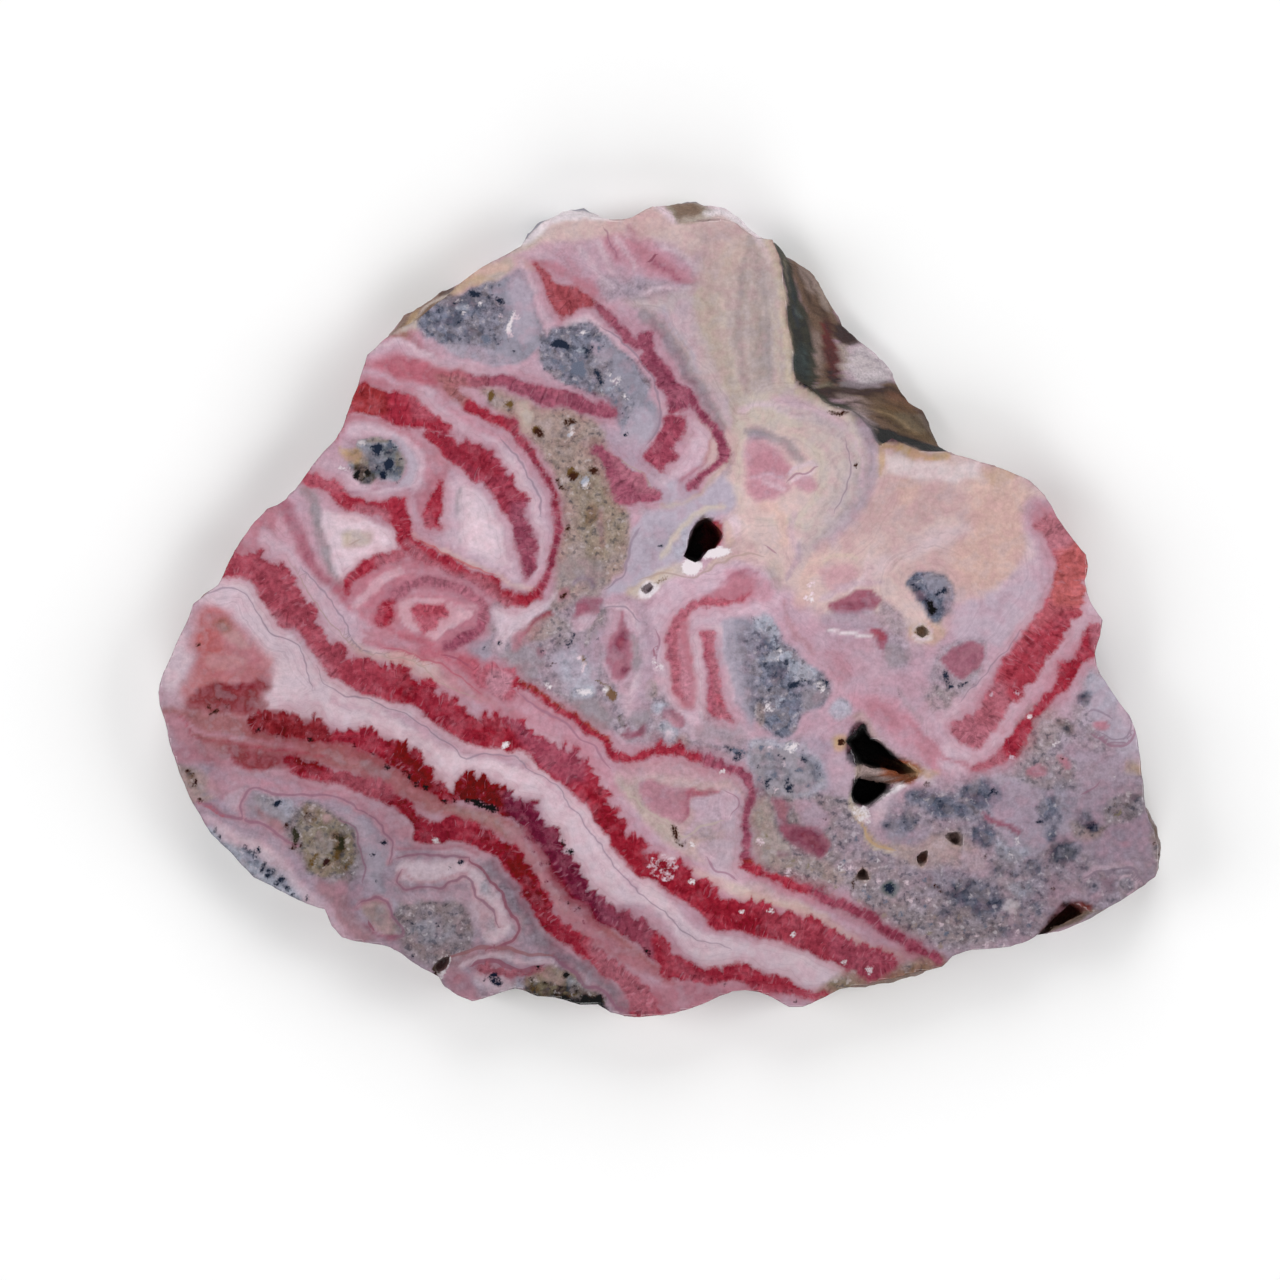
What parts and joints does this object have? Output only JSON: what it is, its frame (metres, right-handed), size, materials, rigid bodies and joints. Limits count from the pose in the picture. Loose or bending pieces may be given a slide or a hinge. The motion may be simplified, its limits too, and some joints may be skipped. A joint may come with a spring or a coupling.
{
  "type": "rhodochrosite slice",
  "caption": "Polished flat slice of banded pink and red rhodochrosite with a natural rough rim and small blind hollows, lying on its sawn back as a display specimen.",
  "frame": {"origin": "middle of the outline, on the sawn back that it lies on", "axes": "+X along the slice's longest side, towards its narrower end with the vug; +Y towards its peaked edge; +Z out of the polished face"},
  "size_m": [0.1016, 0.0826, 0.007],
  "materials": {
    "slice": "polished upper face, matt natural rim, sawn matt back"
  },
  "bodies": {
    "root": {"slice": "slice"}
  },
  "joints": []
}
